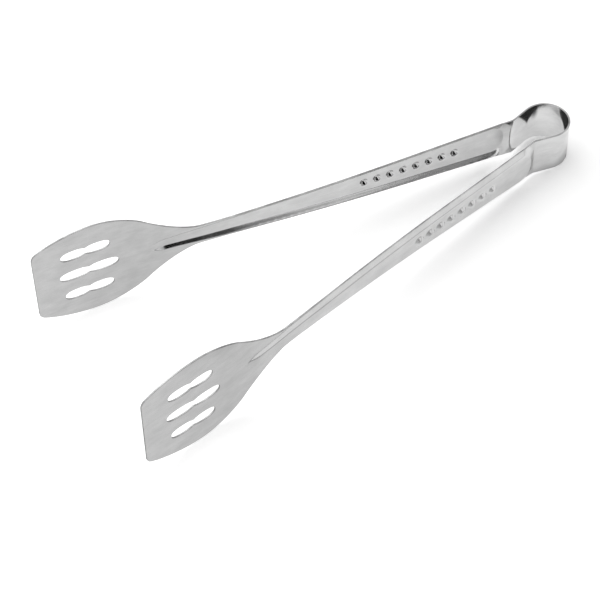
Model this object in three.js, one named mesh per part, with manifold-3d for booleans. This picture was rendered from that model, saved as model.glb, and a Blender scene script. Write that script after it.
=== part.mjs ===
// Salad tongs pressed from one strip of stainless steel: a spring loop joins two channelled arms,
// and each arm ends in a flat leaf-shaped blade with three waisted slots.
// The strip flexes at the loop, so the model parts it at its two neck creases: the loop stands
// between the arms, and each arm turns about the crease line on its own side.
// Frame: millimetres, +Z up, the tongs lying on their edges on z = 0 with the loop towards +X,
// and the origin under the middle of the whole object.

import * as THREE from 'three';
import { mergeVertices } from 'three/addons/utils/BufferGeometryUtils.js';
import Module from 'manifold-3d';

// The strip
const sheet = 1.0; // thickness of the steel
const hingeGap = 0.3; // clearance at each neck crease, where the arm turns

// The loop and the two necks, measured to the middle of the sheet
const stripHalfWidth = 12.3; // round the loop and up to the creases
const loopRadius = 12.9;
const neckSetback = 14.55; // from the loop's centre back to the crease
const neckOffset = 9.75; // from the centre line out to the crease

// The arm, measured along the strip from the crease
const armSpread = 9; // degrees that a resting arm stands off the centre line at its neck
const armLength = 184; // to the blade's root
const waistHalfWidth = 6.55;
const taperLength = 166; // over which the strip's width eases to the waist's
const bow = 3.7; // degrees that the handle bends out on its way to the blade
const bowStart = 67;

// The channel pressed into the arm: a flat web standing outwards between two sloping flanges
const channelDepth = 2;
const flangeWidth = 2.6;
const edgeLand = 0.25; // flat left between the flange's foot and the cut edge
const webStart = 4.8; // from the crease to the web's rounded end
const webCornerRadius = 6.4;
const ridgeReach = 23; // how far the channel runs on into the blade as a ridge
const ridgeHalfWidth = 2.4; // of the web at the ridge's end
const fadeLength = 68; // over which the channel gets shallower before its end
const fadedShare = 0.55; // of the channel's depth and flange, left at its end

// The grip dimples, pressed outwards along the middle of the web
const dimpleCount = 8;
const dimplePitch = 7.8;
const firstDimple = 34.8;
const dimpleDepth = 0.9;
const dimpleMouthRadius = 2; // of the pit in the inner face
const dimpleWall = 0.45; // by which the bump outside is wider than the pit

// The blade, measured along the strip from its root
const bladeLength = 92.8;
const bladeHalfWidth = 31.2;
const widestPoint = 59.5;
const tipHalfWidth = 23.1; // at the tip, before its corners are rounded
const tipSideAngle = 27; // degrees that the leaf's side runs in at the tip
const tipCornerRadius = 5;
// Control points of the leaf's curves, as shares of the way to the widest point and of the way
// from the waist's half width to the blade's
const rootPullShares = [0.12, 0];
const rootLiftShares = [0.333, 0.248];
const shoulderShares = [0.519, 0.607];
const shoulderLiftShares = [0.6, 0.763];
const crownShares = [0.8, 1];
// and of the way from the widest point to the tip's corner
const tipPullShare = 0.4;
const tipLiftShare = 0.25;
const toeIn = 6.7; // degrees that the blade turns back in
const toeInStart = 7.3; // from the blade's root to where the bow ends and the toe-in begins
const toeInLength = 62;

// The slots: two overlapping ellipses each, which leave a waist
const slotLobeHalfWidth = 3.3;
const slotWaistHalfWidth = 1.93;
const middleSlotHalfLength = 16.6;
const outerSlotHalfLength = 13.8;
const middleSlotSetback = 30.3; // from the tip to the slot's centre
const outerSlotSetback = 29.3;
const slotSpacing = 14.7; // from the middle slot to each outer one

// Where a cut or a join has to pass a face, it passes it by this much
const overrun = 0.5;

// Numbers of steps on the curved stretches
const loopSteps = 22;
const flareSteps = 3;
const cornerSteps = 4;
const taperSteps = 12;
const leafSteps = [12, 5, 5];
const dimpleSides = 14;
const dimpleRings = 3;
const lobeSteps = 14;

const wasm = await Module();
wasm.setup();

const { degToRad, lerp, smoothstep } = THREE.MathUtils;
const up = new THREE.Vector3(0, 0, 1);

// Evenly spaced values from one to the other, with the last left out
function spaced(from, to, count) {
  return Array.from({ length: count }, (_, i) => lerp(from, to, i / count));
}

// Solids

// A closed mesh with shared vertices, no empty triangles and its faces pointing out
function closed(geometry) {
  geometry.deleteAttribute('normal');
  geometry.deleteAttribute('uv');
  const merged = mergeVertices(geometry);
  const position = merged.attributes.position;
  const corners = Array.from(merged.index.array);
  const triangles = [];
  for (let i = 0; i < corners.length; i += 3) {
    const triangle = corners.slice(i, i + 3);
    if (new Set(triangle).size === 3) triangles.push(triangle);
  }
  const [a, b, c] = [new THREE.Vector3(), new THREE.Vector3(), new THREE.Vector3()];
  let volume = 0;
  for (const [i, j, k] of triangles) {
    a.fromBufferAttribute(position, i);
    b.fromBufferAttribute(position, j);
    c.fromBufferAttribute(position, k);
    volume += a.dot(b.cross(c));
  }
  if (volume < 0) triangles.forEach((triangle) => triangle.reverse());
  merged.setIndex(triangles.flat());
  return merged;
}

function toSolid(geometry) {
  const mesh = closed(geometry);
  return new wasm.Manifold(new wasm.Mesh({
    numProp: 3,
    vertProperties: Float32Array.from(mesh.attributes.position.array),
    triVerts: Uint32Array.from(mesh.index.array),
  }));
}

function toGeometry(solid) {
  const mesh = solid.getMesh();
  const geometry = new THREE.BufferGeometry();
  geometry.setAttribute('position', new THREE.BufferAttribute(mesh.vertProperties, mesh.numProp));
  geometry.setIndex(new THREE.BufferAttribute(mesh.triVerts, 1));
  return geometry;
}

// The same piece on the other side of the tongs' middle plane
function mirrored(geometry) {
  return closed(geometry.clone().scale(1, -1, 1));
}

// A sheet of the strip's thickness along rows of points on its middle surface. A row's lean slants
// its cut along the strip, for an end that is mitred.
function pressedSheet(rows) {
  const bisector = (before, at, after) => {
    const sum = new THREE.Vector3();
    if (before) sum.add(at.clone().sub(before).normalize());
    if (after) sum.add(after.clone().sub(at).normalize());
    return sum.normalize();
  };
  const across = rows[0].points.length;
  const vertices = [];
  rows.forEach(({ points, lean = 0 }, i) => {
    const faces = points.map((point, j) => {
      const along = bisector(rows[i - 1]?.points[j], point, rows[i + 1]?.points[j]);
      const sideways = bisector(points[j - 1], point, points[j + 1]);
      const offset = sideways.cross(along).normalize().addScaledVector(along, lean);
      return [1, -1].map((side) => point.clone().addScaledVector(offset, side * sheet / 2));
    });
    vertices.push(...faces.map(([outer]) => outer), ...faces.map(([, inner]) => inner).reverse());
  });
  const ring = 2 * across;
  const triangles = [];
  const quad = (a, b, c, d) => triangles.push(a, b, c, a, c, d);
  for (let i = 0; i < rows.length - 1; i += 1) {
    for (let j = 0; j < ring; j += 1) {
      const next = (j + 1) % ring;
      quad(i * ring + j, i * ring + next, (i + 1) * ring + next, (i + 1) * ring + j);
    }
  }
  for (let j = 0; j < across - 1; j += 1) {
    const end = (rows.length - 1) * ring;
    quad(ring - 1 - j, ring - 2 - j, j + 1, j);
    quad(end + j, end + j + 1, end + ring - 2 - j, end + ring - 1 - j);
  }
  const geometry = new THREE.BufferGeometry();
  const coordinates = vertices.flatMap((vertex) => vertex.toArray());
  geometry.setAttribute('position', new THREE.Float32BufferAttribute(coordinates, 3));
  geometry.setIndex(triangles);
  return closed(geometry);
}

// The plan of the strip

// The crease is where the loop's straight flare, which is tangent to its circle, meets the arm
const crease = new THREE.Vector2(-neckSetback, neckOffset);
const flareLength = Math.sqrt(crease.lengthSq() - loopRadius ** 2);
const tangentAngle = crease.angle() - Math.acos(loopRadius / crease.length());
const flareAngle = tangentAngle - Math.PI / 2;
const spread = degToRad(armSpread);
const creaseTurn = spread + flareAngle;

// Each side of the crease stops half the hinge's gap short of the plane that halves its corner
const endSetback = hingeGap / 2 / Math.cos(creaseTurn / 2);
const endLean = Math.tan(creaseTurn / 2);

// The arm's stretches in plan, each an arc with its length and the angle that it turns out by
const armRuns = [
  [bowStart, 0],
  [armLength + toeInStart - bowStart, degToRad(bow)],
  [toeInLength, -degToRad(toeIn)],
  [Infinity, 0],
];

// Where the arm's strip lies at a distance along it, and the angle that it runs at there
function armPlan(s) {
  const place = crease.clone();
  let angle = spread;
  let left = s;
  for (const [length, turn] of armRuns) {
    const run = Math.min(left, length);
    const halfTurn = turn * run / length / 2;
    const chord = halfTurn ? run * Math.sin(halfTurn) / halfTurn : run;
    place.x -= chord * Math.cos(angle + halfTurn);
    place.y += chord * Math.sin(angle + halfTurn);
    angle += 2 * halfTurn;
    left -= run;
  }
  return { place, angle };
}

// A point off the strip's own plane: s along it, z across it and out away from the other arm
function armPoint(s, z, out) {
  const { place, angle } = armPlan(s);
  return new THREE.Vector3(place.x + out * Math.sin(angle), place.y + out * Math.cos(angle), z);
}

// A frame on the arm, with x along the strip, y across it and z outwards
function armFrame(s, z, out) {
  const { angle } = armPlan(s);
  const along = new THREE.Vector3(-Math.cos(angle), Math.sin(angle), 0);
  const frame = new THREE.Matrix4().makeBasis(along, up, along.clone().cross(up));
  return frame.setPosition(armPoint(s, z, out));
}

// The arm's outline

const stripLength = armLength + bladeLength;

function handleHalfWidth(s) {
  return lerp(stripHalfWidth, waistHalfWidth, Math.min(s / taperLength, 1));
}

// The tip's corner is an arc between the leaf's side and the straight edge across the tip
const tipSide = degToRad(tipSideAngle);
const cornerTurn = Math.PI / 2 - tipSide;
const cornerCut = tipCornerRadius * Math.tan(cornerTurn / 2);
const cornerStart = new THREE.Vector2(
  bladeLength - cornerCut * Math.cos(tipSide),
  tipHalfWidth + cornerCut * Math.sin(tipSide),
);
const cornerCentre = new THREE.Vector2(bladeLength - tipCornerRadius, tipHalfWidth - cornerCut);

// The leaf shape as distance from the root and half width: out of the root in a hollow curve,
// over a shoulder to the widest point, and in to the tip's corner
function leafOutline() {
  const leafPoint = (lengthShare, widthShare) => new THREE.Vector2(
    widestPoint * lengthShare,
    lerp(waistHalfWidth, bladeHalfWidth, widthShare),
  );
  const shoulder = leafPoint(...shoulderShares);
  const reach = cornerStart.clone().sub(leafPoint(1, 1));
  const curves = [
    [leafPoint(0, 0), leafPoint(...rootPullShares), leafPoint(...rootLiftShares), shoulder],
    [shoulder, leafPoint(...shoulderLiftShares), leafPoint(...crownShares), leafPoint(1, 1)],
    [
      leafPoint(1, 1),
      leafPoint(1, 1).setX(widestPoint + reach.x * tipPullShare),
      cornerStart.clone().sub(new THREE.Vector2(reach.x, 0).multiplyScalar(tipLiftShare)
        .rotateAround(new THREE.Vector2(), -tipSide)),
      cornerStart,
    ],
  ];
  const side = curves.flatMap((controls, i) => (
    new THREE.CubicBezierCurve(...controls).getPoints(leafSteps[i]).slice(0, -1)
  ));
  const corner = spaced(cornerTurn, 0, cornerSteps).concat(0).map((angle) => new THREE.Vector2(
    cornerCentre.x + tipCornerRadius * Math.cos(angle),
    cornerCentre.y + tipCornerRadius * Math.sin(angle),
  ));
  return [...side, ...corner];
}

// The pressed channel

const webInset = flangeWidth + edgeLand;
const webEnd = armLength + ridgeReach;

// The share of its full depth that the channel has at a distance along the arm
function channelShare(s) {
  return lerp(1, fadedShare, smoothstep(s, webEnd - fadeLength, webEnd));
}

function webHalfWidth(s) {
  const narrowing = smoothstep(s, taperLength, webEnd);
  return lerp(handleHalfWidth(s) - webInset, ridgeHalfWidth, narrowing);
}

// The circle that rounds the web's nearer end, with round corners at the neck and a full round at
// the end of the ridge: its radius, how far a place lies past its centre towards that end, and how
// far its centre stands off the web's middle line
function webCorner(s) {
  const atNeck = s < stripLength / 2;
  const half = webHalfWidth(s);
  const radius = atNeck ? webCornerRadius : half;
  const past = atNeck ? webStart + radius - s : s - (webEnd - radius);
  return { radius, past, centre: half - radius };
}

// How far a point lies outside the web's outline. Points inside give less than nothing.
function outsideWeb(s, z) {
  const { radius, past, centre } = webCorner(s);
  const across = Math.abs(z) - centre;
  const outside = Math.hypot(Math.max(past, 0), Math.max(across, 0));
  return outside + Math.min(Math.max(past, across), 0) - radius;
}

// The half width of the line that runs round the web at a distance outside its outline
function lineRoundWeb(s, distance) {
  const { radius, past, centre } = webCorner(s);
  return centre + Math.sqrt(Math.max((radius + distance) ** 2 - Math.max(past, 0) ** 2, 0));
}

// How far the channel stands out of the strip's plane
function pressedOut(s, z) {
  const share = channelShare(s);
  const slope = THREE.MathUtils.clamp(outsideWeb(s, z) / (flangeWidth * share), 0, 1);
  return channelDepth * share * (1 - slope);
}

// Places across the strip: its cut edges, the flanges' feet, the web's edges and between them
function acrossStrip(s, halfWidth) {
  const least = ridgeHalfWidth / 2;
  const web = Math.max(lineRoundWeb(s, 0), least);
  const foot = Math.max(lineRoundWeb(s, flangeWidth * channelShare(s)), web + least);
  const half = [halfWidth, foot, web, web / 2];
  return [...half, 0, ...half.map((z) => -z).reverse()];
}

// The arm with its blade, before anything is cut: rows across the strip, closer together where the
// channel ends
function armSheet() {
  const handle = [
    endSetback,
    ...spaced(webStart - flangeWidth, webStart, cornerSteps),
    ...spaced(webStart, webStart + webCornerRadius, cornerSteps),
    ...spaced(webStart + webCornerRadius, armLength, taperSteps),
  ].map((s) => [s, handleHalfWidth(s)]);
  const blade = leafOutline().map(({ x, y }) => [armLength + x, y]);
  const footEnd = webEnd + flangeWidth * fadedShare;
  const ridgeEnd = [
    ...spaced(webEnd - ridgeHalfWidth, webEnd, cornerSteps),
    ...spaced(webEnd, footEnd, cornerSteps),
    footEnd,
  ].map((s) => {
    const next = blade.findIndex(([place]) => place > s);
    const [[before, halfBefore], [after, halfAfter]] = blade.slice(next - 1, next + 1);
    return [s, lerp(halfBefore, halfAfter, (s - before) / (after - before))];
  });
  const places = [...handle, ...blade, ...ridgeEnd].sort(([a], [b]) => a - b);
  const rows = places.map(([s, halfWidth], i) => ({
    points: acrossStrip(s, halfWidth).map((z) => armPoint(s, z, pressedOut(s, z))),
    lean: i ? 0 : endLean,
  }));
  return pressedSheet(rows);
}

// The blade's slots

// Two overlapping ellipses end to end; they cross where the waist is
function slotShape(halfLength) {
  const crossing = Math.sqrt(1 - (slotWaistHalfWidth / slotLobeHalfWidth) ** 2);
  const lobeHalfLength = halfLength / (1 + crossing);
  const lobeOffset = halfLength - lobeHalfLength;
  const reach = Math.acos(-crossing);
  const lobe = spaced(-reach, reach, lobeSteps).map((angle) => new THREE.Vector2(
    lobeOffset + lobeHalfLength * Math.cos(angle),
    slotLobeHalfWidth * Math.sin(angle),
  ));
  return new THREE.Shape([...lobe, ...lobe.map((point) => point.clone().negate())]);
}

function slotCutter(halfLength, setback, z) {
  const depth = sheet + 2 * overrun;
  const cutter = new THREE.ExtrudeGeometry(slotShape(halfLength), { depth, bevelEnabled: false });
  return toSolid(cutter.applyMatrix4(armFrame(stripLength - setback, z, -depth / 2)));
}

// The grip dimples

// A ball's cap that stands on the face it is placed on, and runs on below it
function ballCap(mouthRadius) {
  const ball = (mouthRadius ** 2 + dimpleDepth ** 2) / (2 * dimpleDepth);
  const centre = dimpleDepth - ball;
  const reach = Math.acos((-overrun - centre) / ball);
  const arc = spaced(reach, 0, dimpleRings).map((angle) => new THREE.Vector2(
    ball * Math.sin(angle),
    centre + ball * Math.cos(angle),
  ));
  const profile = [new THREE.Vector2(0, -overrun), ...arc, new THREE.Vector2(0, dimpleDepth)];
  return new THREE.LatheGeometry(profile, dimpleSides).rotateX(Math.PI / 2);
}

function dimple(s, face, mouthRadius) {
  return toSolid(ballCap(mouthRadius).applyMatrix4(armFrame(s, 0, channelDepth + face)));
}

function armGeometry() {
  let arm = toSolid(armSheet());
  for (let i = 0; i < dimpleCount; i += 1) {
    const s = firstDimple + i * dimplePitch;
    arm = arm.add(dimple(s, sheet / 2, dimpleMouthRadius + dimpleWall));
    arm = arm.subtract(dimple(s, -sheet / 2, dimpleMouthRadius));
  }
  arm = arm.subtract(slotCutter(middleSlotHalfLength, middleSlotSetback, 0));
  for (const z of [slotSpacing, -slotSpacing]) {
    arm = arm.subtract(slotCutter(outerSlotHalfLength, outerSlotSetback, z));
  }
  return toGeometry(arm);
}

// The spring loop, from the left crease round to the right one
function loopGeometry() {
  const along = new THREE.Vector2(Math.cos(flareAngle), Math.sin(flareAngle));
  const flare = spaced(endSetback, flareLength, flareSteps)
    .map((t) => crease.clone().addScaledVector(along, t));
  const round = spaced(tangentAngle, -tangentAngle, loopSteps).concat(-tangentAngle)
    .map((angle) => new THREE.Vector2(loopRadius, 0).rotateAround(new THREE.Vector2(), angle));
  const otherFlare = flare.map(({ x, y }) => new THREE.Vector2(x, -y)).reverse();
  const plan = [...flare, ...round, ...otherFlare];
  const rows = plan.map(({ x, y }, i) => ({
    points: [stripHalfWidth, -stripHalfWidth].map((z) => new THREE.Vector3(x, y, z)),
    lean: i === 0 ? -endLean : i === plan.length - 1 ? endLean : 0,
  }));
  return pressedSheet(rows);
}

// The assembly

const steel = { color: 0xc9cac9, roughness: 0.32, metalness: 1 };

function piece(name, geometry) {
  geometry.computeVertexNormals();
  const mesh = new THREE.Mesh(geometry, new THREE.MeshStandardMaterial(steel));
  mesh.name = name;
  return mesh;
}

const leftArm = armGeometry();
const tongs = new THREE.Group();
tongs.add(piece('spring_loop', loopGeometry()));
tongs.add(piece('left_arm', leftArm));
tongs.add(piece('right_arm', mirrored(leftArm)));

// Lying on their edges, the tongs tip until the loop's far corner and the blades touch the table
const loopReach = loopRadius + sheet / 2;
const tilt = Math.max(...leafOutline().map(({ x, y }) => (
  Math.atan2(y - stripHalfWidth, loopReach - armPlan(armLength + x).place.x)
)));
tongs.rotation.y = tilt;

const extent = new THREE.Box3().setFromObject(tongs, true);
tongs.position.set(-(extent.min.x + extent.max.x) / 2, 0, -extent.min.z);

const part = new THREE.Group();
part.add(tongs);

export default part;
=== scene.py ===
import math

import bpy
import numpy as np
from mathutils import Matrix, Vector
from mathutils.geometry import delaunay_2d_cdt
from mathutils.kdtree import KDTree


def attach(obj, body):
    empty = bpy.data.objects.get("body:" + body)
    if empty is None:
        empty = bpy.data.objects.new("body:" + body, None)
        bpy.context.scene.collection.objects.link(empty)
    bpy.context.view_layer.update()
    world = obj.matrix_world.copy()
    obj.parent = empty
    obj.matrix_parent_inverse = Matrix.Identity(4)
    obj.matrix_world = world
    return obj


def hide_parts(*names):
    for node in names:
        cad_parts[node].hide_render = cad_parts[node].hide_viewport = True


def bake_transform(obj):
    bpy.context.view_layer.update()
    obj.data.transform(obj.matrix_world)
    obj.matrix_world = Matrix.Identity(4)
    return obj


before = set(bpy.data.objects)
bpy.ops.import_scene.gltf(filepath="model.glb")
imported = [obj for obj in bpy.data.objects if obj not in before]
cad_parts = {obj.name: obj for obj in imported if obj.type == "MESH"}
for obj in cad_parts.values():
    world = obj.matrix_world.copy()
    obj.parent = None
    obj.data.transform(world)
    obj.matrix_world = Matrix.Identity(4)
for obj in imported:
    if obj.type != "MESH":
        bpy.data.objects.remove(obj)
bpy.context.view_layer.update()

# The spring loop
# The middle of the strip, bent round into a spring that holds the arms apart. 1 mm stainless steel,
# rolled, polished satin along its length and bent cold, so it is one smooth wall with no seam.
# The real loop flexes when the tongs close; these halves keep their rest shape.

MM = 0.001
SHEET = 1.0 * MM
EDGE_ROUNDING = 0.2 * MM  # left on the blanked edges by tumbling
STRIP_HALF_WIDTH = 12.3 * MM
LOOP_RADIUS = 12.9 * MM
CREASE = np.array([-14.55, 9.75]) * MM
CREASE_RADIUS = 2.5 * MM
ARM_SPREAD = math.radians(9)
SEAM = 1.5 * MM  # past the crease, where the loop's metal is handed over to the arm's
SEAM_ROUNDING = 0.01 * MM
LOOP_STEPS = 110
STRIP_COLUMNS = 13

tangent_angle = math.atan2(CREASE[1], CREASE[0]) - math.acos(LOOP_RADIUS / np.hypot(*CREASE))
flare_length = math.sqrt(CREASE @ CREASE - LOOP_RADIUS**2)
crease_turn = ARM_SPREAD + tangent_angle - math.pi / 2
crease_cut = CREASE_RADIUS * math.tan(crease_turn / 2)
half_loop_runs = [
    (LOOP_RADIUS * tangent_angle, tangent_angle),
    (flare_length - crease_cut, 0),
    (CREASE_RADIUS * crease_turn, -crease_turn),
    (SEAM - crease_cut, 0),
]
half_loop_length = sum(length for length, _ in half_loop_runs)
apex_along = SEAM - half_loop_length


def walk(runs, place, heading, distances):
    """Where a line made of arcs goes: its places and headings at those distances from its start."""
    places, headings = [], []
    for distance in distances:
        at, angle, left = np.array(place, float), heading, distance
        for length, turn in runs:
            run = min(left, length)
            half_turn = turn * run / length / 2
            chord = run * (math.sin(half_turn) / half_turn if half_turn else 1)
            at += chord * np.array([math.cos(angle + half_turn), math.sin(angle + half_turn)])
            angle += 2 * half_turn
            left -= run
        places.append(at)
        headings.append(angle)
    return np.array(places), np.array(headings)


def add_node(tree, kind, inputs=None, **settings):
    """One node with its settings; inputs take a socket to link from, or a value."""
    node = tree.nodes.new(kind)
    for name, value in settings.items():
        setattr(node, name, value)
    for socket, source in (inputs or {}).items():
        if isinstance(source, bpy.types.NodeSocket):
            tree.links.new(source, node.inputs[socket])
        else:
            node.inputs[socket].default_value = source
    return node


def node_tree(name, sizes):
    """A geometry tree with its named inputs, and the node that holds them."""
    tree = bpy.data.node_groups.new(name, "GeometryNodeTree")
    tree.interface.new_socket(name="Geometry", in_out="INPUT", socket_type="NodeSocketGeometry")
    tree.interface.new_socket(name="Geometry", in_out="OUTPUT", socket_type="NodeSocketGeometry")
    for label, kind in sizes.items():
        tree.interface.new_socket(name=label, in_out="INPUT", socket_type=f"NodeSocket{kind}")
    return tree, add_node(tree, "NodeGroupInput").outputs


def hand_out(tree, geometry, material):
    """The end of every tree: real geometry of one material."""
    real = add_node(tree, "GeometryNodeRealizeInstances", {0: geometry}).outputs[0]
    painted = add_node(tree, "GeometryNodeSetMaterial", {"Geometry": real, "Material": material})
    add_node(tree, "NodeGroupOutput", {0: painted.outputs[0]})


def formed(points, edges, faces, values, tree, sizes):
    """The mesh that a tree makes of these points, as its points, its faces and its attributes."""
    mesh = bpy.data.meshes.new("blank")
    mesh.from_pydata([tuple(p) for p in points], edges, faces)
    for label, data in values.items():
        mesh.attributes.new(label, "FLOAT", "POINT").data.foreach_set("value", data)
    blank = bpy.data.objects.new("blank", mesh)
    bpy.context.scene.collection.objects.link(blank)
    modifier = blank.modifiers.new("form", "NODES")
    modifier.node_group = tree
    for item in tree.interface.items_tree:
        if item.in_out == "INPUT" and item.name in sizes:
            modifier[item.identifier] = sizes[item.name]
    bpy.context.view_layer.update()
    depsgraph = bpy.context.evaluated_depsgraph_get()
    made = bpy.data.meshes.new_from_object(blank.evaluated_get(depsgraph))
    blank.modifiers.remove(modifier)
    bpy.data.objects.remove(blank)
    bpy.data.meshes.remove(mesh)
    return made


def read(mesh, label, width=1):
    """A mesh attribute as an array."""
    data = mesh.attributes[label].data
    values = np.zeros(len(data) * width, np.float32)
    data.foreach_get("vector" if width == 3 else "value", values)
    return values.reshape(-1, width).astype(float) if width > 1 else values.astype(float)


def linear(hex_colour):
    """An sRGB colour such as #c8c9ca as the linear one that a shader takes."""
    shares = [int(hex_colour[i : i + 2], 16) / 255 for i in (1, 3, 5)]
    return [s / 12.92 if s <= 0.04045 else ((s + 0.055) / 1.055) ** 2.4 for s in shares] + [1]


# Satin stainless steel: cold-rolled sheet, polished with a fine belt along the strip before it was
# pressed. Fairly mirror-like, with a soft drawn-out grain and faint clouds where the polish differs.
# The sheared edges are rougher and darker: partly their greyer, rougher metal, and partly painted
# shade for the dark line that runs along the edges.
STEEL_LIGHT, STEEL_DARK = "#d8d8d8", "#c9c9c9"
SHEARED_LIGHT, SHEARED_DARK = "#bababa", "#7c7c7c"
POLISHED_ROUGHNESS, SHEARED_ROUGHNESS = (0.09, 0.17), 0.45
GRAIN_LENGTH = 12 * MM
GRAIN_WIDTH = 0.45 * MM  # belt scratches are 0.05 mm apart, drawn coarser so that they show
CLOUD_SIZE = 6 * MM
CLOUD_SHARE = 0.68  # of the mottling; the grain is the rest
COLOUR_SPAN, GLOSS_SPAN = (0.35, 0.65), (0.3, 0.7)  # of the mottling, which stays near a half
RELIEF_STRENGTH, RELIEF_DEPTH = 0.1, 0.02 * MM

steel = bpy.data.materials.new("satin_stainless_steel")
steel.use_nodes = True
tree = steel.node_tree
tree.nodes.clear()
strip_place = add_node(tree, "ShaderNodeCombineXYZ", {
    0: add_node(tree, "ShaderNodeAttribute", attribute_name="strip_length").outputs["Fac"],
    1: add_node(tree, "ShaderNodeAttribute", attribute_name="strip_width").outputs["Fac"],
}).outputs[0]
grain = add_node(tree, "ShaderNodeTexNoise", {
    "Vector": add_node(tree, "ShaderNodeVectorMath", {
        0: strip_place, 1: (1 / GRAIN_LENGTH, 1 / GRAIN_WIDTH, 1),
    }, operation="MULTIPLY").outputs[0],
    "Scale": 1, "Detail": 3, "Roughness": 0.6,
}).outputs["Fac"]
cloud = add_node(tree, "ShaderNodeTexNoise", {
    "Vector": add_node(tree, "ShaderNodeVectorMath", {
        0: strip_place, 1: (1 / (2 * CLOUD_SIZE), 1 / CLOUD_SIZE, 1),
    }, operation="MULTIPLY").outputs[0],
    "Scale": 1, "Detail": 4, "Roughness": 0.55,
}).outputs["Fac"]
mottle = add_node(tree, "ShaderNodeMix", {
    "Factor": CLOUD_SHARE, 2: grain, 3: cloud,
}, data_type="FLOAT").outputs[0]
spread_mottle = add_node(tree, "ShaderNodeMapRange", {
    "Value": mottle, "From Min": COLOUR_SPAN[0], "From Max": COLOUR_SPAN[1],
}).outputs[0]
cut_edge = add_node(tree, "ShaderNodeAttribute", attribute_name="cut_edge").outputs["Fac"]
polished = add_node(tree, "ShaderNodeMix", {
    "Factor": spread_mottle, 6: linear(STEEL_DARK), 7: linear(STEEL_LIGHT),
}, data_type="RGBA").outputs[2]
# The sheared edges' colour is partly painted shade, darker than their rough metal alone, for the dark
# line along them
sheared = add_node(tree, "ShaderNodeMix", {
    "Factor": spread_mottle, 6: linear(SHEARED_DARK), 7: linear(SHEARED_LIGHT),
}, data_type="RGBA").outputs[2]
colour = add_node(tree, "ShaderNodeMix", {
    "Factor": cut_edge, 6: polished, 7: sheared,
}, data_type="RGBA").outputs[2]
face_roughness = add_node(tree, "ShaderNodeMapRange", {
    "Value": mottle, "From Min": GLOSS_SPAN[0], "From Max": GLOSS_SPAN[1],
    "To Min": POLISHED_ROUGHNESS[0], "To Max": POLISHED_ROUGHNESS[1],
}).outputs[0]
roughness = add_node(tree, "ShaderNodeMix", {
    "Factor": cut_edge, 2: face_roughness, 3: SHEARED_ROUGHNESS,
}, data_type="FLOAT").outputs[0]
bump = add_node(tree, "ShaderNodeBump", {
    "Height": mottle, "Strength": RELIEF_STRENGTH, "Distance": RELIEF_DEPTH,
}).outputs[0]
surface = add_node(tree, "ShaderNodeBsdfPrincipled", {
    "Base Color": colour, "Roughness": roughness, "Normal": bump, "Metallic": 1,
}).outputs[0]
add_node(tree, "ShaderNodeOutputMaterial", {"Surface": surface})

# The tree that bends the strip: a grid whose rows stand on a path
tree, given = node_tree("strip_on_path", {
    "Half width": "Float", "Steps along": "Int", "Steps across": "Int",
    "Start along": "Float", "Path length": "Float", "Steel": "Material",
})
path = add_node(tree, "GeometryNodeMeshToCurve", {0: given["Geometry"]}).outputs[0]
grid = add_node(tree, "GeometryNodeMeshGrid", {
    "Size X": 1, "Size Y": 1, "Vertices X": given["Steps along"],
    "Vertices Y": given["Steps across"],
}).outputs["Mesh"]
place = add_node(tree, "ShaderNodeSeparateXYZ", {
    0: add_node(tree, "GeometryNodeInputPosition").outputs[0],
}).outputs
share = add_node(tree, "ShaderNodeMath", {0: place["X"], 1: 0.5}, operation="ADD").outputs[0]
full_width = add_node(tree, "ShaderNodeMath", {
    0: given["Half width"], 1: 2,
}, operation="MULTIPLY").outputs[0]
across = add_node(tree, "ShaderNodeMath", {
    0: place["Y"], 1: full_width,
}, operation="MULTIPLY").outputs[0]
along = add_node(tree, "ShaderNodeMath", {
    0: share, 1: given["Path length"], 2: given["Start along"],
}, operation="MULTIPLY_ADD").outputs[0]
on_path = add_node(tree, "GeometryNodeSampleCurve", {
    "Curves": path, "Factor": share,
}, mode="FACTOR").outputs
outward = add_node(tree, "ShaderNodeVectorMath", {
    0: on_path["Tangent"], 1: (0, 0, 1),
}, operation="CROSS_PRODUCT").outputs[0]
strip = grid
for label, value, kind in (("along", along, "FLOAT"), ("across", across, "FLOAT"),
                           ("outward", outward, "FLOAT_VECTOR")):
    strip = add_node(tree, "GeometryNodeStoreNamedAttribute", {
        "Geometry": strip, "Name": label, "Value": value,
    }, data_type=kind, domain="POINT").outputs[0]
strip = add_node(tree, "GeometryNodeSetPosition", {
    "Geometry": strip, "Position": on_path["Position"],
    "Offset": add_node(tree, "ShaderNodeCombineXYZ", {2: across}).outputs[0],
}).outputs[0]
hand_out(tree, strip, given["Steel"])

path_places, _ = walk(half_loop_runs, (LOOP_RADIUS, 0), math.pi / 2,
                      np.linspace(0, half_loop_length, LOOP_STEPS))
half_loop = formed(
    [(x, y, 0) for x, y in path_places],
    [(i, i + 1) for i in range(LOOP_STEPS - 1)], [], {}, tree,
    {
        "Half width": STRIP_HALF_WIDTH - EDGE_ROUNDING, "Steps along": LOOP_STEPS,
        "Steps across": STRIP_COLUMNS, "Start along": apex_along,
        "Path length": half_loop_length, "Steel": steel,
    },
)


def middle_of(mesh):
    """A formed sheet's middle surface: its points, its faces and their places on the strip."""
    points = np.zeros(len(mesh.vertices) * 3, np.float32)
    mesh.vertices.foreach_get("co", points)
    faces = np.array([tuple(face.vertices) for face in mesh.polygons])
    return {
        "points": points.reshape(-1, 3).astype(float), "faces": faces,
        "along": read(mesh, "along"), "across": read(mesh, "across"),
    }


def rim_loops(faces):
    """The sheet's edges as closed rows of points, each with the metal on its left."""
    pairs = {(int(a), int(b)) for face in faces for a, b in zip(face, np.roll(face, -1))}
    follow = {a: b for a, b in pairs if (b, a) not in pairs}
    loops = []
    while follow:
        first, second = follow.popitem()
        loop = [first]
        while second != first:
            loop.append(second)
            second = follow.pop(second)
        loops.append(np.array(loop))
    return loops


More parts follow.
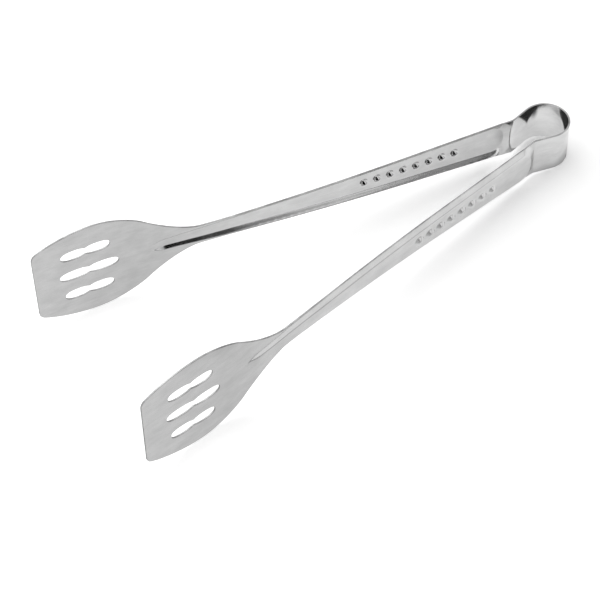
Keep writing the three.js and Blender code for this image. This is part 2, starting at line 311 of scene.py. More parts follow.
# The tongs lie on their edges and tip until the loop's corner and the blades touch the table
TILT = math.radians(4.04016)
LOOP_CENTRE = Vector((136.90553, 0, 13.21787)) * MM
on_table = Matrix.Translation(LOOP_CENTRE) @ Matrix.Rotation(TILT, 4, "Y")
ROUNDING_STEPS = 3
NEARLY_STRAIGHT, SHARPEST = 0.9, -0.99  # cosines of the turn at a point of the rim


def sheet_metal(name, middle, outer, is_seam, mirrored):
    """A closed sheet of the strip's thickness round a middle surface, with its rims rounded.

    The outer face follows a middle surface of its own, which differs where the metal is stretched.
    """
    faces, along, across = middle["faces"], middle["along"], middle["across"]
    turn_over = (1, -1, 1) if mirrored else (1, 1, 1)
    points, normals = middle["points"] * turn_over, middle["normals"] * turn_over
    outer_points, outer_normals = outer["points"] * turn_over, outer["normals"] * turn_over
    if mirrored:
        faces = faces[:, ::-1]
        along = 2 * apex_along - along
    count = len(points)
    half = SHEET / 2
    vertices = [outer_points + outer_normals * half, points - normals * half]
    directions = [outer_normals, -normals]
    origin = [np.arange(count)] * 2
    on_rim = [np.zeros(count)] * 2
    polygons = faces.tolist()
    polygons += [[i + count for i in face[::-1]] for face in faces.tolist()]
    start = 2 * count
    for loop in rim_loops(faces):
        at, normal = points[loop], normals[loop]
        ahead = np.roll(at, -1, axis=0) - at
        side = np.cross(ahead, normal)
        side /= np.linalg.norm(side, axis=1)[:, None]
        seam = is_seam[loop] & np.roll(is_seam[loop], -1)
        reach = np.where(seam, SEAM_ROUNDING, EDGE_ROUNDING)
        side_before, reach_before = np.roll(side, 1, axis=0), np.roll(reach, 1)
        cosine = np.clip((side * side_before).sum(1), SHARPEST, 1)
        straight = cosine > NEARLY_STRAIGHT
        sine_squared = np.where(straight, 1, 1 - cosine**2)
        mitre = (side * ((reach - reach_before * cosine) / sine_squared)[:, None]
                 + side_before * ((reach_before - reach * cosine) / sine_squared)[:, None])
        plain = side + side_before
        plain *= (((reach + reach_before) / 2) / (1 + cosine))[:, None]
        out = np.where(straight[:, None], plain, mitre)
        facing = out / np.linalg.norm(out, axis=1)[:, None]
        depth = np.maximum(reach, reach_before)[:, None]
        rows = []
        turns = np.linspace(0, math.pi / 2, ROUNDING_STEPS + 1)[1:]
        for face_side in (1, -1):
            made = []
            for turn in turns:
                level = face_side * (half - depth * (1 - math.cos(turn)))
                vertices.append(at + out * math.sin(turn) + normal * level)
                directions.append(facing * math.sin(turn) + face_side * normal * math.cos(turn))
                origin.append(loop)
                on_rim.append(1.0 * ~seam)
                made.append(np.arange(start, start + len(loop)))
                start += len(loop)
            rows.append(made)
        ring = [loop] + rows[0] + rows[1][::-1] + [loop + count]
        for upper, lower in zip(ring, ring[1:]):
            for i in range(len(loop)):
                j = (i + 1) % len(loop)
                polygons.append([int(upper[j]), int(upper[i]), int(lower[i]), int(lower[j])])
    vertices, directions = np.vstack(vertices), np.vstack(directions)
    origin, on_rim = np.concatenate(origin), np.concatenate(on_rim)
    mesh = bpy.data.meshes.new(name)
    mesh.from_pydata(vertices.tolist(), [], polygons)
    for label, data in (("strip_length", along[origin]), ("strip_width", across[origin]),
                        ("cut_edge", on_rim)):
        mesh.attributes.new(label, "FLOAT", "POINT").data.foreach_set("value", data)
    mesh.transform(on_table)
    mesh.materials.append(steel)
    mesh.shade_smooth()
    turned = directions @ np.array(on_table.to_3x3()).T
    turned /= np.linalg.norm(turned, axis=1)[:, None]
    mesh.normals_split_custom_set_from_vertices(turned.tolist())
    mesh.update()
    piece = bpy.data.objects.new(name, mesh)
    bpy.context.scene.collection.objects.link(piece)
    return piece


loop_middle = middle_of(half_loop)
loop_middle["normals"] = read(half_loop, "outward", 3)
loop_seams = (np.abs(loop_middle["along"] - SEAM) < SEAM_ROUNDING) | (
    np.abs(loop_middle["along"] - apex_along) < SEAM_ROUNDING
)
for side, mirrored in (("left", False), ("right", True)):
    piece = sheet_metal(f"spring_loop_{side}_half", loop_middle, loop_middle, loop_seams, mirrored)
    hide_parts("spring_loop")
    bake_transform(piece)


# The arms
# The two ends of the same strip, blanked with a waist and a leaf-shaped blade and pressed in a die:
# a channel with sloping flanges that runs out into the blade as a ridge, and eight grip dimples.
# The right arm mirrors the left one, and both are one metal with the loop. Sizes in millimetres.

WAIST_HALF_WIDTH = 6.55
ARM_LENGTH = 184
TAPER_LENGTH, TAPER_EASING = 166, 9
BLADE_LENGTH = 92.8
BLADE_HALF_WIDTH = 31.2
WIDEST_POINT = 59.5
TIP_HALF_WIDTH = 23.1
TIP_SIDE_ANGLE = math.radians(27)
TIP_CORNER_RADIUS = 5
# The blade's edge up to the widest point, as two curves in shares of its growth along and across
ROOT_SHARES = [(0, 0), (0.12, 0), (0.333, 0.248), (0.519, 0.607)]
SHOULDER_SHARES = [(0.519, 0.607), (0.6, 0.763), (0.8, 1), (1, 1)]
TIP_PULL_SHARE, TIP_LIFT_SHARE = 0.4, 0.25  # of the curve from the widest point to the tip's corner
ROOT_POINTS, SHOULDER_POINTS, TIP_CURVE_POINTS, CORNER_POINTS, TIP_POINTS = 40, 34, 30, 9, 18
HANDLE_PITCH = 0.9  # of the points along the handle's edges
BOW, BOW_START = math.radians(3.7), 67  # outwards along the handle
TOE_IN, TOE_IN_START, TOE_IN_LENGTH = math.radians(6.7), 7.3, 62  # inwards along the blade

arm_runs = [
    (BOW_START, 0),
    (ARM_LENGTH + TOE_IN_START - BOW_START, -BOW),
    (TOE_IN_LENGTH, TOE_IN),
    (ARM_LENGTH + BLADE_LENGTH, 0),
]
strip_end = ARM_LENGTH + BLADE_LENGTH


def curve_points(shares, count):
    """Points on a cubic curve through its four control points, with the last left out."""
    start, first_pull, last_pull, end = (np.array(point, float) for point in shares)
    gone = (np.arange(count) / count)[:, None]
    left = 1 - gone
    return (start * left**3 + 3 * first_pull * gone * left**2
            + 3 * last_pull * gone**2 * left + end * gone**3)


def leaf_side():
    """The blade's edge from its root to the middle of the tip, as places along and across."""
    def at(shares):
        """The places that these shares of the blade's growth stand for."""
        grown = np.array([WIDEST_POINT, BLADE_HALF_WIDTH - WAIST_HALF_WIDTH])
        return [np.array(share) * grown + (0, WAIST_HALF_WIDTH) for share in shares]
    corner_turn = math.pi / 2 - TIP_SIDE_ANGLE
    cut = TIP_CORNER_RADIUS * math.tan(corner_turn / 2)
    run_in = np.array([math.cos(TIP_SIDE_ANGLE), -math.sin(TIP_SIDE_ANGLE)])
    corner_start = np.array([BLADE_LENGTH, TIP_HALF_WIDTH]) - cut * run_in
    centre = np.array([BLADE_LENGTH - TIP_CORNER_RADIUS, TIP_HALF_WIDTH - cut])
    widest = at([(1, 1)])[0]
    reach = corner_start[0] - widest[0]
    tip_curve = [widest, widest + (reach * TIP_PULL_SHARE, 0),
                 corner_start - run_in * reach * TIP_LIFT_SHARE, corner_start]
    angles = np.linspace(corner_turn, 0, CORNER_POINTS)
    corner = centre + TIP_CORNER_RADIUS * np.stack([np.cos(angles), np.sin(angles)], 1)
    across_tip = np.linspace(corner[-1][1], 0, TIP_POINTS)[1:]
    tip = np.stack([np.full(len(across_tip), BLADE_LENGTH), across_tip], 1)
    return np.vstack([
        curve_points(at(ROOT_SHARES), ROOT_POINTS),
        curve_points(at(SHOULDER_SHARES), SHOULDER_POINTS),
        curve_points(tip_curve, TIP_CURVE_POINTS), corner, tip,
    ])


def handle_half_width(along):
    """Half the strip's width at a place along the arm: a taper that eases out before the blade."""
    left = np.maximum(TAPER_LENGTH + TAPER_EASING - along, 0)
    eased_left = np.where(left < 2 * TAPER_EASING, left**2 / (4 * TAPER_EASING), left - TAPER_EASING)
    taper = 1 - eased_left / TAPER_LENGTH
    wide = STRIP_HALF_WIDTH / MM
    return wide + (WAIST_HALF_WIDTH - wide) * taper


def inset(points, distance):
    """A closed outline moved to its left by a distance."""
    ahead = np.roll(points, -1, axis=0) - np.roll(points, 1, axis=0)
    ahead /= np.linalg.norm(ahead, axis=1)[:, None]
    return points + distance * np.stack([-ahead[:, 1], ahead[:, 0]], 1)


handle_places = np.arange(SEAM / MM, ARM_LENGTH, HANDLE_PITCH)
side_points = np.vstack([
    np.stack([handle_places, handle_half_width(handle_places)], 1),
    leaf_side() + (ARM_LENGTH, 0),
])
blank_outline = np.vstack([side_points * (1, -1), side_points[::-1][1:]])
rounding = EDGE_ROUNDING / MM
seam_line = (SEAM + SEAM_ROUNDING) / MM
cut_outline = inset(blank_outline, rounding)
cut_outline[0] = (seam_line, -handle_half_width(SEAM / MM) + rounding)
cut_outline[-1] = cut_outline[0] * (1, -1)
seam_points = np.linspace(cut_outline[-1], cut_outline[0], STRIP_COLUMNS)[1:-1]
cut_outline = np.vstack([cut_outline, seam_points])

# The slots: three through each blade, each of two overlapping blunt ovals, with its waist eased
SLOT_LOBE_HALF_WIDTH = 3.3
SLOT_WAIST_HALF_WIDTH = 1.93
SLOT_BLUNTNESS = 2.5  # of the lobes' ends; 2 is an ellipse
# Half of each slot's length, how far its middle lies before the tip, and its place across
SLOT_SIZES = [(16.6, 30.3, 0), (13.8, 29.3, 14.7), (13.8, 29.3, -14.7)]
WAIST_EASING = 3  # rounds of smoothing
LOBE_POINTS = 48


def slot_outline(half_length, setback, across):
    """One slot's outline: two lobes that cross at its waist."""
    waist = (SLOT_WAIST_HALF_WIDTH / SLOT_LOBE_HALF_WIDTH) ** SLOT_BLUNTNESS
    crossing = (1 - waist) ** (1 / SLOT_BLUNTNESS)
    lobe_half_length = half_length / (1 + crossing)
    reach = math.pi - math.acos(crossing ** (SLOT_BLUNTNESS / 2))
    angles = np.linspace(-reach, reach, LOBE_POINTS + 1)[:-1]
    round_lobe = np.stack([np.cos(angles), np.sin(angles)], 1)
    blunt = np.sign(round_lobe) * np.abs(round_lobe) ** (2 / SLOT_BLUNTNESS)
    lobe = blunt * (lobe_half_length, SLOT_LOBE_HALF_WIDTH)
    lobe += (half_length - lobe_half_length, 0)
    points = np.vstack([lobe, -lobe])
    for _ in range(WAIST_EASING):
        points = (np.roll(points, 1, axis=0) + 2 * points + np.roll(points, -1, axis=0)) / 4
    return points + (strip_end - setback, across)


slots = [inset(slot_outline(*size), -rounding)[::-1] for size in SLOT_SIZES]

# The pressed channel: a flat web that stands outwards between two sloping flanges
CHANNEL_DEPTH = 2
FLANGE_WIDTH = 2.6
FOOT_WIDTH = 0.25  # of the flat strip beside a flange
WEB_INSET = FLANGE_WIDTH + FOOT_WIDTH
WEB_START, WEB_CORNER_RADIUS = 4.6, 8.6
RIDGE_REACH, RIDGE_HALF_WIDTH = 28, 2.4
FADE_LENGTH, FADED_SHARE = 68, 0.68  # how far before the ridge's end it sinks, and to what share
RIDGE_FADE, RIDGE_TAIL = 8, 1  # before and past its end, where the ridge sinks into the blade
LEAST_SHARE = 0.02  # of the depth and flange width, kept so that nothing is divided by nothing
NECK_SPREAD = 0.85  # how much wider the flange is round the web's neck end
BEND_EASING = 0.38  # half the width of the rounding where the sheet bends in the die
web_end = ARM_LENGTH + RIDGE_REACH


def eased(value, start, end):
    """A share that grows from 0 to 1 between two values, smoothly at both."""
    share = np.clip((value - start) / (end - start), 0, 1)
    return share * share * (3 - 2 * share)


def channel_share(along):
    """How much of the full depth and flange width the channel has at a place."""
    share = 1 + (FADED_SHARE - 1) * eased(along, web_end - FADE_LENGTH, web_end)
    sunk = eased(along, web_end - RIDGE_FADE, web_end + RIDGE_TAIL)
    return share * np.maximum(1 - sunk, LEAST_SHARE)


def web_half_width(along):
    """Half the web's width, which narrows to the ridge's on the blade."""
    wide = handle_half_width(along) - WEB_INSET
    return wide + (RIDGE_HALF_WIDTH - wide) * eased(along, TAPER_LENGTH, web_end)


def outside_web(along, across):
    """How far a place lies outside the web's outline; inside it is less than nothing."""
    half = web_half_width(along)
    at_neck = along < strip_end / 2
    radius = np.where(at_neck, WEB_CORNER_RADIUS, half)
    past = np.where(at_neck, WEB_START + radius - along, along - (web_end - radius))
    beside = np.abs(across) - (half - radius)
    outside = np.hypot(np.maximum(past, 0), np.maximum(beside, 0))
    return outside + np.minimum(np.maximum(past, beside), 0) - radius


def pressed_out(along, across):
    """How far the die pushes the sheet out of its plane, with the bends at web and foot eased."""
    share = channel_share(along)
    at_neck = eased(WEB_START + WEB_CORNER_RADIUS - along, 0, WEB_CORNER_RADIUS)
    flange = FLANGE_WIDTH * share * (1 + NECK_SPREAD * at_neck)
    distance = outside_web(along, across)

    def area(reach):
        """What lies under the flange's slope up to a distance from the web."""
        on_flange = np.where(reach < flange, reach**2 / (2 * flange), reach - flange / 2)
        return np.where(reach < 0, 0, on_flange)

    ease = BEND_EASING * share
    down = (area(distance + ease) - area(distance - ease)) / (2 * ease)
    return CHANNEL_DEPTH * share * (1 - down)


# The grip dimples: eight round pits, pressed outwards along the middle of the web
DIMPLE_COUNT, DIMPLE_PITCH, FIRST_DIMPLE = 8, 7.8, 34.8
DIMPLE_EASING = 0.3
PIT_SIZES = {"Depth": 2.1, "Rim radius": 2.8, "Floor radius": 0.8}  # in the inner face
BUMP_SIZES = {"Depth": 1.6, "Rim radius": 3.4, "Floor radius": 0.9}  # on the outer face

dimple_places = FIRST_DIMPLE + DIMPLE_PITCH * np.arange(DIMPLE_COUNT)

# The points of the blank lie close together where the sheet bends, and wide apart where it is flat
CHANNEL_PITCH, NECK_PITCH, RIDGE_PITCH, BLADE_PITCH = 0.75, 0.42, 0.36, 1.7
WEB_LINES = 8
NECK_HALF_WIDTH = 12
RIDGE_PATCH_HALF_WIDTH, RIDGE_PATCH_PAST_END = 6, 4
BLADE_ROOT_OVERLAP = 4  # of the blade's points with the handle
FLANGE_ROOM, PATCH_ROOM = 1.4, 0.2  # between the blade's points and those of the ridge
RING_PITCH, RING_REACH, RING_POINTS = 0.3, 3.7, 26  # of the rings of points round a dimple's middle
DIMPLE_ROOM = 3.8  # from which other points keep out
EDGE_ROOM, BLADE_EDGE_ROOM = 0.22, 0.8  # the least between a point and the nearest edge
BLADE_EDGE_ROOM_START = 5  # past the end of the ridge
SAME_POINT = 1e-5


def grid_points(low, high, pitch):
    """Rows of points between two corners, every second row shifted, as in a honeycomb."""
    row = np.arange(low[0], high[0], pitch)
    levels = np.arange(low[1], high[1] + pitch, pitch * math.sqrt(3) / 2)
    return np.vstack([
        np.stack([row + (i % 2) * pitch / 2, np.full(len(row), level)], 1)
        for i, level in enumerate(levels)
    ])


def inner_points():
    """The points between the edges of the blank: channel, neck, end of the ridge, blade, dimples."""
    neck_end = WEB_START + WEB_CORNER_RADIUS
    ridge_end = web_end - 2 * RIDGE_HALF_WIDTH
    found = []
    for along in np.arange(neck_end, ridge_end, CHANNEL_PITCH):
        half, flange = web_half_width(along), FLANGE_WIDTH * channel_share(along)
        steps = [-BEND_EASING, -BEND_EASING / 2, 0, BEND_EASING / 2, BEND_EASING]
        lines = [half + d for d in steps] + [half + flange / 2]
        lines += [half + flange + d for d in steps]
        web = np.linspace(0, half - BEND_EASING, WEB_LINES)[:-1]
        lines = np.concatenate([lines, web])
        found += [(along, across) for across in np.concatenate([lines, -lines[lines > 0]])]
    found = np.array(found)
    neck = grid_points((seam_line, -NECK_HALF_WIDTH), (neck_end, NECK_HALF_WIDTH), NECK_PITCH)
    patch_end = web_end + RIDGE_PATCH_PAST_END
    ridge = grid_points((ridge_end, -RIDGE_PATCH_HALF_WIDTH), (patch_end, RIDGE_PATCH_HALF_WIDTH),
                        RIDGE_PITCH)
    blade = grid_points((ARM_LENGTH - BLADE_ROOT_OVERLAP, -BLADE_HALF_WIDTH),
                        (strip_end, BLADE_HALF_WIDTH), BLADE_PITCH)
    along, across = blade.T
    beyond = outside_web(along, across) > FLANGE_WIDTH * channel_share(along) + FLANGE_ROOM
    on_ridge_patch = (along < patch_end + PATCH_ROOM) & (along > ridge_end - PATCH_ROOM)
    on_ridge_patch &= np.abs(across) < RIDGE_PATCH_HALF_WIDTH + PATCH_ROOM
    found = np.vstack([found, neck, ridge, blade[beyond & ~on_ridge_patch]])
    rings = [(0.0, 0.0)]
    for radius in np.arange(RING_PITCH, RING_REACH, RING_PITCH):
        turns = np.arange(RING_POINTS) * 2 * math.pi / RING_POINTS + radius
        rings += list(zip(radius * np.cos(turns), radius * np.sin(turns)))
    clear = np.ones(len(found), bool)
    for along in dimple_places:
        clear &= np.hypot(found[:, 0] - along, found[:, 1]) > DIMPLE_ROOM
    return np.vstack([found[clear]] + [np.array(rings) + (along, 0) for along in dimple_places])


def inside(points, outline):
    """Whether each point lies inside a closed outline."""
    x, y = points[:, 0][:, None], points[:, 1][:, None]
    x1, y1 = outline[:, 0], outline[:, 1]
    x2, y2 = np.roll(x1, -1), np.roll(y1, -1)
    crosses = (y1 > y) != (y2 > y)
    level = np.where(y2 == y1, 1, y2 - y1)
    return (crosses & (x < (x2 - x1) * (y - y1) / level + x1)).sum(1) % 2 == 1


def flat_blank():
    """The blank before pressing, as points and triangles, with its slots cut."""
    loops = [cut_outline] + slots
    border = np.vstack(loops)
    nearest = KDTree(len(border))
    for i, (along, across) in enumerate(border):
        nearest.insert((along, across, 0), i)
    nearest.balance()
    filling = inner_points()
    room = np.array([nearest.find((along, across, 0))[2] for along, across in filling])
    on_blade = filling[:, 0] > web_end + BLADE_EDGE_ROOM_START
    keep = (room > np.where(on_blade, BLADE_EDGE_ROOM, EDGE_ROOM)) & inside(filling, cut_outline)
    for slot in slots:
        keep &= ~inside(filling, slot)
    filling = filling[keep]
    edges, start = [], 0
    for loop in loops:
        edges += [(start + i, start + (i + 1) % len(loop)) for i in range(len(loop))]
        start += len(loop)
    points = np.vstack([border, filling])
    made, _, triangles, _, _, _ = delaunay_2d_cdt(
        [Vector(p) for p in points], edges, [], 0, SAME_POINT, False
    )
    made = np.array([tuple(p) for p in made])
    triangles = np.array(triangles)
    centres = made[triangles].mean(1)
    keep = inside(centres, cut_outline)
    for slot in slots:
        keep &= ~inside(centres, slot)
    return made, triangles[keep]


blank_points, blank_triangles = flat_blank()
plan_along, which = np.unique(blank_points[:, 0], return_inverse=True)
plan_places, plan_headings = walk(arm_runs, CREASE / MM, math.pi - ARM_SPREAD, plan_along)
plan_at, heading = plan_places[which], plan_headings[which]
outwards = np.stack([np.sin(heading), -np.cos(heading), np.zeros(len(heading))], 1)
channel = pressed_out(blank_points[:, 0], blank_points[:, 1])
pressed = np.column_stack([plan_at, blank_points[:, 1]]) + outwards * channel[:, None]

# The tree that presses the dimples: each point goes out by the depth of the nearest one there
DIMPLE_INPUTS = {
    "Count": "Float", "First": "Float", "Pitch": "Float", "Depth": "Float",
    "Rim radius": "Float", "Floor radius": "Float", "Easing": "Float", "Steel": "Material",
}
# The sums that it does: what each gives, how, and from which numbers
DIMPLE_SUMS = [
    ("past first", "SUBTRACT", "along", "First"),
    ("pitches past first", "DIVIDE", "past first", "Pitch"),
    ("nearest", "ROUND", "pitches past first"),
    ("last", "SUBTRACT", "Count", 1),
    ("nearest up to last", "MINIMUM", "nearest", "last"),
    ("number", "MAXIMUM", "nearest up to last", 0),
    ("centre past first", "MULTIPLY", "number", "Pitch"),
    ("beside", "SUBTRACT", "past first", "centre past first"),
    ("distance beside", "ABSOLUTE", "beside"),
    ("distance across", "ABSOLUTE", "across"),
    ("square beside", "POWER", "distance beside", 2),
    ("square across", "POWER", "distance across", 2),
    ("squares", "ADD", "square beside", "square across"),
    ("off centre", "SQRT", "squares"),
    ("inside rim", "SUBTRACT", "Rim radius", "off centre"),
    ("wall width", "SUBTRACT", "Rim radius", "Floor radius"),
    ("slope", "DIVIDE", "Depth", "wall width"),
    ("cone", "MULTIPLY", "inside rim", "slope"),
    ("floored", "SMOOTH_MIN", "cone", "Depth", "Easing"),
    ("push", "SMOOTH_MAX", "floored", 0, "Easing"),
]

tree, given = node_tree("grip_dimples", DIMPLE_INPUTS)
numbers = {label: given[label] for label in DIMPLE_INPUTS}
for label in ("along", "across", "outward_x", "outward_y"):
    numbers[label] = add_node(tree, "GeometryNodeInputNamedAttribute", {"Name": label}).outputs[0]
outward = add_node(tree, "ShaderNodeCombineXYZ", {
    0: numbers["outward_x"], 1: numbers["outward_y"],
}).outputs[0]
for label, operation, *terms in DIMPLE_SUMS:
    sources = {i: numbers.get(term, term) for i, term in enumerate(terms)}
    numbers[label] = add_node(tree, "ShaderNodeMath", sources, operation=operation).outputs[0]
offset = add_node(tree, "ShaderNodeVectorMath", {
    0: outward, "Scale": numbers["push"],
}, operation="SCALE").outputs[0]
dimpled = add_node(tree, "GeometryNodeSetPosition", {
    "Geometry": given["Geometry"], "Offset": offset,
}).outputs[0]
hand_out(tree, dimpled, given["Steel"])

arm_faces = []
for sizes in (PIT_SIZES, BUMP_SIZES):
    sheet = formed(
        pressed * MM, [], blank_triangles.tolist(),
        {
            "along": blank_points[:, 0] * MM, "across": blank_points[:, 1] * MM,
            "outward_x": outwards[:, 0], "outward_y": outwards[:, 1],
        },
        tree,
        {
            "Count": float(DIMPLE_COUNT), "First": FIRST_DIMPLE * MM, "Pitch": DIMPLE_PITCH * MM,
            "Easing": DIMPLE_EASING * MM, "Steel": steel,
            **{label: size * MM for label, size in sizes.items()},
        },
    )
    arm_faces.append(middle_of(sheet))
    arm_faces[-1]["normals"] = np.array([tuple(n.vector) for n in sheet.vertex_normals])
arm_middle, arm_outer = arm_faces
arm_seams = np.abs(arm_middle["along"] - SEAM) < 3 * SEAM_ROUNDING
for side, mirrored in (("left", False), ("right", True)):
    piece = sheet_metal(f"{side}_arm_pressing", arm_middle, arm_outer, arm_seams, mirrored)
    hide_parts(f"{side}_arm")
    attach(piece, f"{side}_arm")


# The studio
# A white table under a large soft light, in a white room. Its front wall is dark, with a bright
# strip and a grey foot, and only the polished metal shows it. Nothing here is part of the tongs.

TABLE_COLOUR = "#f4f4f4"
TABLE_HALF_WIDTH = 4.0
TABLE_TOP = -0.1 * MM  # a hair below the tongs, so that no two faces meet
# The table glows a little, so that it is white where it is bare. The glow has one strength at the
# loop and another out at the blades, both as the camera sees it and as the steel mirrors it: painted
# light that makes the tongs' shadow fainter under the blades than by the loop, and the mirrored
# table brighter by the loop.
GLOW_SEEN, GLOW_MIRRORED, GLOW_REACH = (0.28, 0.55), (0.33, 0.24), 0.3
# Painted shade: near the loop's foot the mirrored table gets no glow, so the steel shows it darker
# there
LOOP_FOOT, FOOT_GLOW_END = 13.4 * MM, 20 * MM  # between them the mirrored glow grows from nothing
GLOW_IN_LOOP = 0.6  # of the table inside the loop, which its walls light
# Painted light: a glow that lightens the shade on the table between the arms' necks, as the camera
# sees it
NECK_PLACE, NECK_REACH, NECK_GLOW = (0.118, 0, 0), (0.006, 0.018), 0.25  # between the arms' necks
# Under the blades the steel shows the table as an even painted glow, without the tongs' own shadow
EVEN_SHARE, EVEN_REACH, EVEN_GLOW = 0.75, (0.16, 0.22), (0.75, 0.87)
# Mirrored, the table has painted shade in front of the tongs and, in the loop, towards the end of its
# bow. Where it is mirrored twice, from wall to wall of the loop, painted shade darkens it all over
# the loop's foot.
SHADE_LEVEL = 0.05
FRONT_PLACE, FRONT_REACH, FRONT_SHADE = (0.05, -0.3, 0), (0.22, 0.257), 0.45
BOW_PLACE, BOW_REACH, BOW_SHADE = (0.150, -0.0085, 0), (0.004, 0.0098), 0.9
TWICE_REACH = 13.2 * MM, 14.6 * MM
ONE_MIRRORING = 1.5  # a ray whose glossy depth is above this has been mirrored more than once

square = [(-1, -1), (1, -1), (1, 1), (-1, 1)]
table_mesh = bpy.data.meshes.new("table")
table_mesh.from_pydata([
    (x * TABLE_HALF_WIDTH, y * TABLE_HALF_WIDTH, TABLE_TOP) for x, y in square
], [], [(0, 1, 2, 3)])
table = bpy.data.objects.new("table", table_mesh)
bpy.context.scene.collection.objects.link(table)

white_table = bpy.data.materials.new("matt_white_table")
white_table.use_nodes = True
tree = white_table.node_tree
tree.nodes.clear()
ray = add_node(tree, "ShaderNodeLightPath").outputs
on_table_top = add_node(tree, "ShaderNodeTexCoord").outputs["Object"]
from_loop, from_neck, from_front, from_bow = (
    add_node(tree, "ShaderNodeVectorMath", {
        0: on_table_top, 1: centre,
    }, operation="DISTANCE").outputs["Value"]
    for centre in ((LOOP_CENTRE.x, 0, 0), NECK_PLACE, FRONT_PLACE, BOW_PLACE)
)
glow_seen, glow_mirrored = (
    add_node(tree, "ShaderNodeMapRange", {
        "Value": from_loop, "From Max": GLOW_REACH, "To Min": at_loop, "To Max": at_blades,
    }, interpolation_type="SMOOTHSTEP").outputs[0]
    for at_loop, at_blades in (GLOW_SEEN, GLOW_MIRRORED)
)
clear_of_foot = add_node(tree, "ShaderNodeMapRange", {
    "Value": from_loop, "From Min": LOOP_FOOT, "From Max": FOOT_GLOW_END, "To Max": glow_mirrored,
}).outputs[0]
in_loop = add_node(tree, "ShaderNodeMath", {
    0: from_loop, 1: LOOP_FOOT,
}, operation="LESS_THAN").outputs[0]
all_mirrored = add_node(tree, "ShaderNodeMath", {
    0: in_loop, 1: GLOW_IN_LOOP, 2: clear_of_foot,
}, operation="MULTIPLY_ADD").outputs[0]
to_steel = add_node(tree, "ShaderNodeMath", {
    0: ray["Is Glossy Ray"], 1: all_mirrored,
}, operation="MULTIPLY").outputs[0]
neck_glow = add_node(tree, "ShaderNodeMapRange", {
    "Value": from_neck, "From Min": NECK_REACH[0], "From Max": NECK_REACH[1],
    "To Min": NECK_GLOW, "To Max": 0,
}).outputs[0]
all_seen = add_node(tree, "ShaderNodeMath", {
    0: glow_seen, 1: neck_glow,
}, operation="ADD").outputs[0]
all_glow = add_node(tree, "ShaderNodeMath", {
    0: ray["Is Camera Ray"], 1: all_seen, 2: to_steel,
}, operation="MULTIPLY_ADD").outputs[0]
matt = add_node(tree, "ShaderNodeBsdfDiffuse", {"Color": linear(TABLE_COLOUR)}).outputs[0]
glow = add_node(tree, "ShaderNodeEmission", {"Strength": all_glow}).outputs[0]
most_even = add_node(tree, "ShaderNodeMath", {
    0: ray["Is Glossy Ray"], 1: EVEN_SHARE,
}, operation="MULTIPLY").outputs[0]
even_share = add_node(tree, "ShaderNodeMapRange", {
    "Value": from_loop, "From Min": EVEN_REACH[0], "From Max": EVEN_REACH[1], "To Max": most_even,
}).outputs[0]
even_glow = add_node(tree, "ShaderNodeMapRange", {
    "Value": from_loop, "From Min": EVEN_REACH[1], "From Max": GLOW_REACH,
    "To Min": EVEN_GLOW[0], "To Max": EVEN_GLOW[1],
}).outputs[0]
lit = add_node(tree, "ShaderNodeMixShader", {
    0: even_share,
    1: add_node(tree, "ShaderNodeAddShader", {0: matt, 1: glow}).outputs[0],
    2: add_node(tree, "ShaderNodeEmission", {"Strength": even_glow}).outputs[0],
}).outputs[0]
more_than_once = add_node(tree, "ShaderNodeMath", {
    0: ray["Glossy Depth"], 1: ONE_MIRRORING,
}, operation="GREATER_THAN").outputs[0]
mirrored_twice = add_node(tree, "ShaderNodeMath", {
    0: ray["Is Glossy Ray"], 1: more_than_once,
}, operation="MULTIPLY").outputs[0]
foot_shade = add_node(tree, "ShaderNodeMapRange", {
    "Value": from_loop, "From Min": TWICE_REACH[0], "From Max": TWICE_REACH[1],
    "To Min": mirrored_twice, "To Max": 0,
}).outputs[0]
front_shade = add_node(tree, "ShaderNodeMapRange", {
    "Value": from_front, "From Min": FRONT_REACH[0], "From Max": FRONT_REACH[1],
    "To Min": FRONT_SHADE, "To Max": 0,
}).outputs[0]
bow_shade = add_node(tree, "ShaderNodeMapRange", {
    "Value": from_bow, "From Min": BOW_REACH[0], "From Max": BOW_REACH[1],
    "To Min": BOW_SHADE, "To Max": 0,
}, interpolation_type="SMOOTHSTEP").outputs[0]
once_shade = add_node(tree, "ShaderNodeMath", {
    0: in_loop, 1: bow_shade, 2: front_shade,
}, operation="MULTIPLY_ADD").outputs[0]
all_shade = add_node(tree, "ShaderNodeMath", {
    0: ray["Is Glossy Ray"], 1: once_shade, 2: foot_shade,
}, operation="MULTIPLY_ADD", use_clamp=True).outputs[0]
shade = add_node(tree, "ShaderNodeEmission", {"Strength": SHADE_LEVEL}).outputs[0]
add_node(tree, "ShaderNodeOutputMaterial", {
    "Surface": add_node(tree, "ShaderNodeMixShader", {
        0: all_shade, 1: lit, 2: shade,
    }).outputs[0],
})
table_mesh.materials.append(white_table)

# The front wall's panels: where they start and end across, their foot and top, and how bright they
# are at their start and from the fade on. Only reflections see them, so they take no light away.
FRONT_WALL = -1.0
PANELS = {
    "dark_wall_left": (-0.3, 0.05, 0.25, 0.6, 0, 0),
    "bright_strip": (0.05, 0.7, 0.43, 0.6, 0, 0.58),
    "dark_wall_above": (-0.8, 3.5, 0.6, 1.8, 0, 0),
    "grey_wall_below": (-0.2, 0.55, 0, 0.21, 0.4, 0.4),
}
PANEL_FADE = 0.14

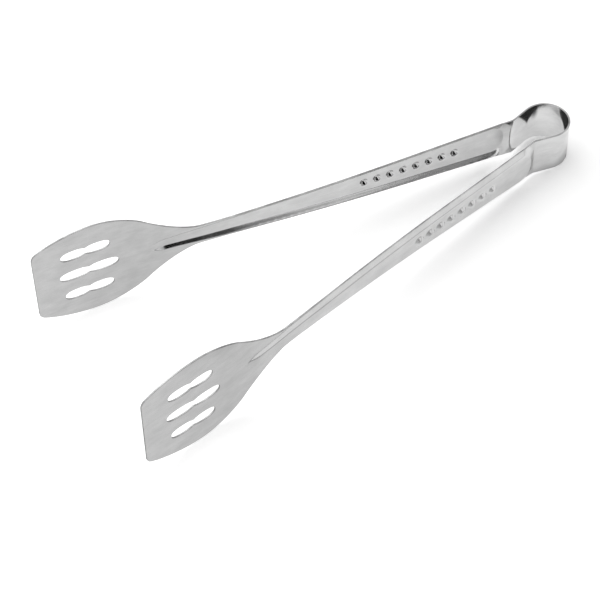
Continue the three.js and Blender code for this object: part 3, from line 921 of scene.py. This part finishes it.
for name, (left_end, right_end, foot, top, first_shine, full_shine) in PANELS.items():
    panel_mesh = bpy.data.meshes.new(name)
    panel_mesh.from_pydata([
        (left_end, FRONT_WALL, foot), (right_end, FRONT_WALL, foot),
        (right_end, FRONT_WALL, top), (left_end, FRONT_WALL, top),
    ], [], [(3, 2, 1, 0)])
    paint = bpy.data.materials.new(name)
    paint.use_nodes = True
    paint.node_tree.nodes.clear()
    across_wall = add_node(paint.node_tree, "ShaderNodeSeparateXYZ", {
        0: add_node(paint.node_tree, "ShaderNodeTexCoord").outputs["Object"],
    }).outputs["X"]
    shine = add_node(paint.node_tree, "ShaderNodeMapRange", {
        "Value": across_wall, "From Min": left_end, "From Max": left_end + PANEL_FADE,
        "To Min": first_shine, "To Max": full_shine,
    }).outputs[0]
    add_node(paint.node_tree, "ShaderNodeOutputMaterial", {
        "Surface": add_node(paint.node_tree, "ShaderNodeEmission", {"Strength": shine}).outputs[0],
    })
    panel_mesh.materials.append(paint)
    panel = bpy.data.objects.new(name, panel_mesh)
    bpy.context.scene.collection.objects.link(panel)
    panel.visible_camera = panel.visible_shadow = panel.visible_diffuse = False

# The room is white to the camera and in the steel, and dimmer as a light and when mirrored twice
ROOM_LIGHT, ROOM_MIRRORED_TWICE = 0.6, 0.52

world = bpy.context.scene.world or bpy.data.worlds.new("white_room")
bpy.context.scene.world = world
world.use_nodes = True
tree = world.node_tree
tree.nodes.clear()
ray = add_node(tree, "ShaderNodeLightPath").outputs
seen = add_node(tree, "ShaderNodeMath", {
    0: ray["Is Camera Ray"], 1: ray["Is Glossy Ray"],
}, operation="MAXIMUM").outputs[0]
more_than_once = add_node(tree, "ShaderNodeMath", {
    0: ray["Glossy Depth"], 1: ONE_MIRRORING,
}, operation="GREATER_THAN").outputs[0]
room = add_node(tree, "ShaderNodeMapRange", {
    "Value": more_than_once, "To Min": 1, "To Max": ROOM_MIRRORED_TWICE,
}).outputs[0]
strength = add_node(tree, "ShaderNodeMapRange", {
    "Value": seen, "To Min": ROOM_LIGHT, "To Max": room,
}).outputs[0]
add_node(tree, "ShaderNodeOutputWorld", {
    "Surface": add_node(tree, "ShaderNodeBackground", {
        "Color": (1, 1, 1, 1), "Strength": strength,
    }).outputs[0],
})

# The lamp hangs behind the tongs and faces the middle of the table
LAMP_PLACE, LAMP_WIDTH, LAMP_POWER = (-0.1, 0.7, 1.35), 1.4, 9.5

soft_light = bpy.data.lights.new("soft_light", "AREA")
soft_light.shape = "SQUARE"
soft_light.size = LAMP_WIDTH
soft_light.energy = LAMP_POWER
lamp = bpy.data.objects.new("soft_light", soft_light)
lamp.location = LAMP_PLACE
lamp.rotation_euler = (-lamp.location).to_track_quat("-Z", "Y").to_euler()
bpy.context.scene.collection.objects.link(lamp)

# The camera stands where the photograph was taken from
CAMERA_PLACE = Vector((-0.34244, -0.59919, 0.84078))
CAMERA_RIGHT = Vector((0.83712660, -0.54244464, -0.07051864))
CAMERA_DOWN = Vector((-0.46332466, -0.63461319, -0.61854374))
SENSOR, LENS = 36, 121.45  # in millimetres

view = bpy.data.cameras.new("camera")
view.sensor_width, view.lens = SENSOR, LENS
camera = bpy.data.objects.new("camera", view)
sight = CAMERA_RIGHT.cross(CAMERA_DOWN)
axes = Matrix((CAMERA_RIGHT, -CAMERA_DOWN, -sight)).transposed()
camera.matrix_world = Matrix.Translation(CAMERA_PLACE) @ axes.to_4x4()
bpy.context.scene.collection.objects.link(camera)
bpy.context.scene.camera = camera
bpy.context.scene.view_settings.view_transform = "Standard"
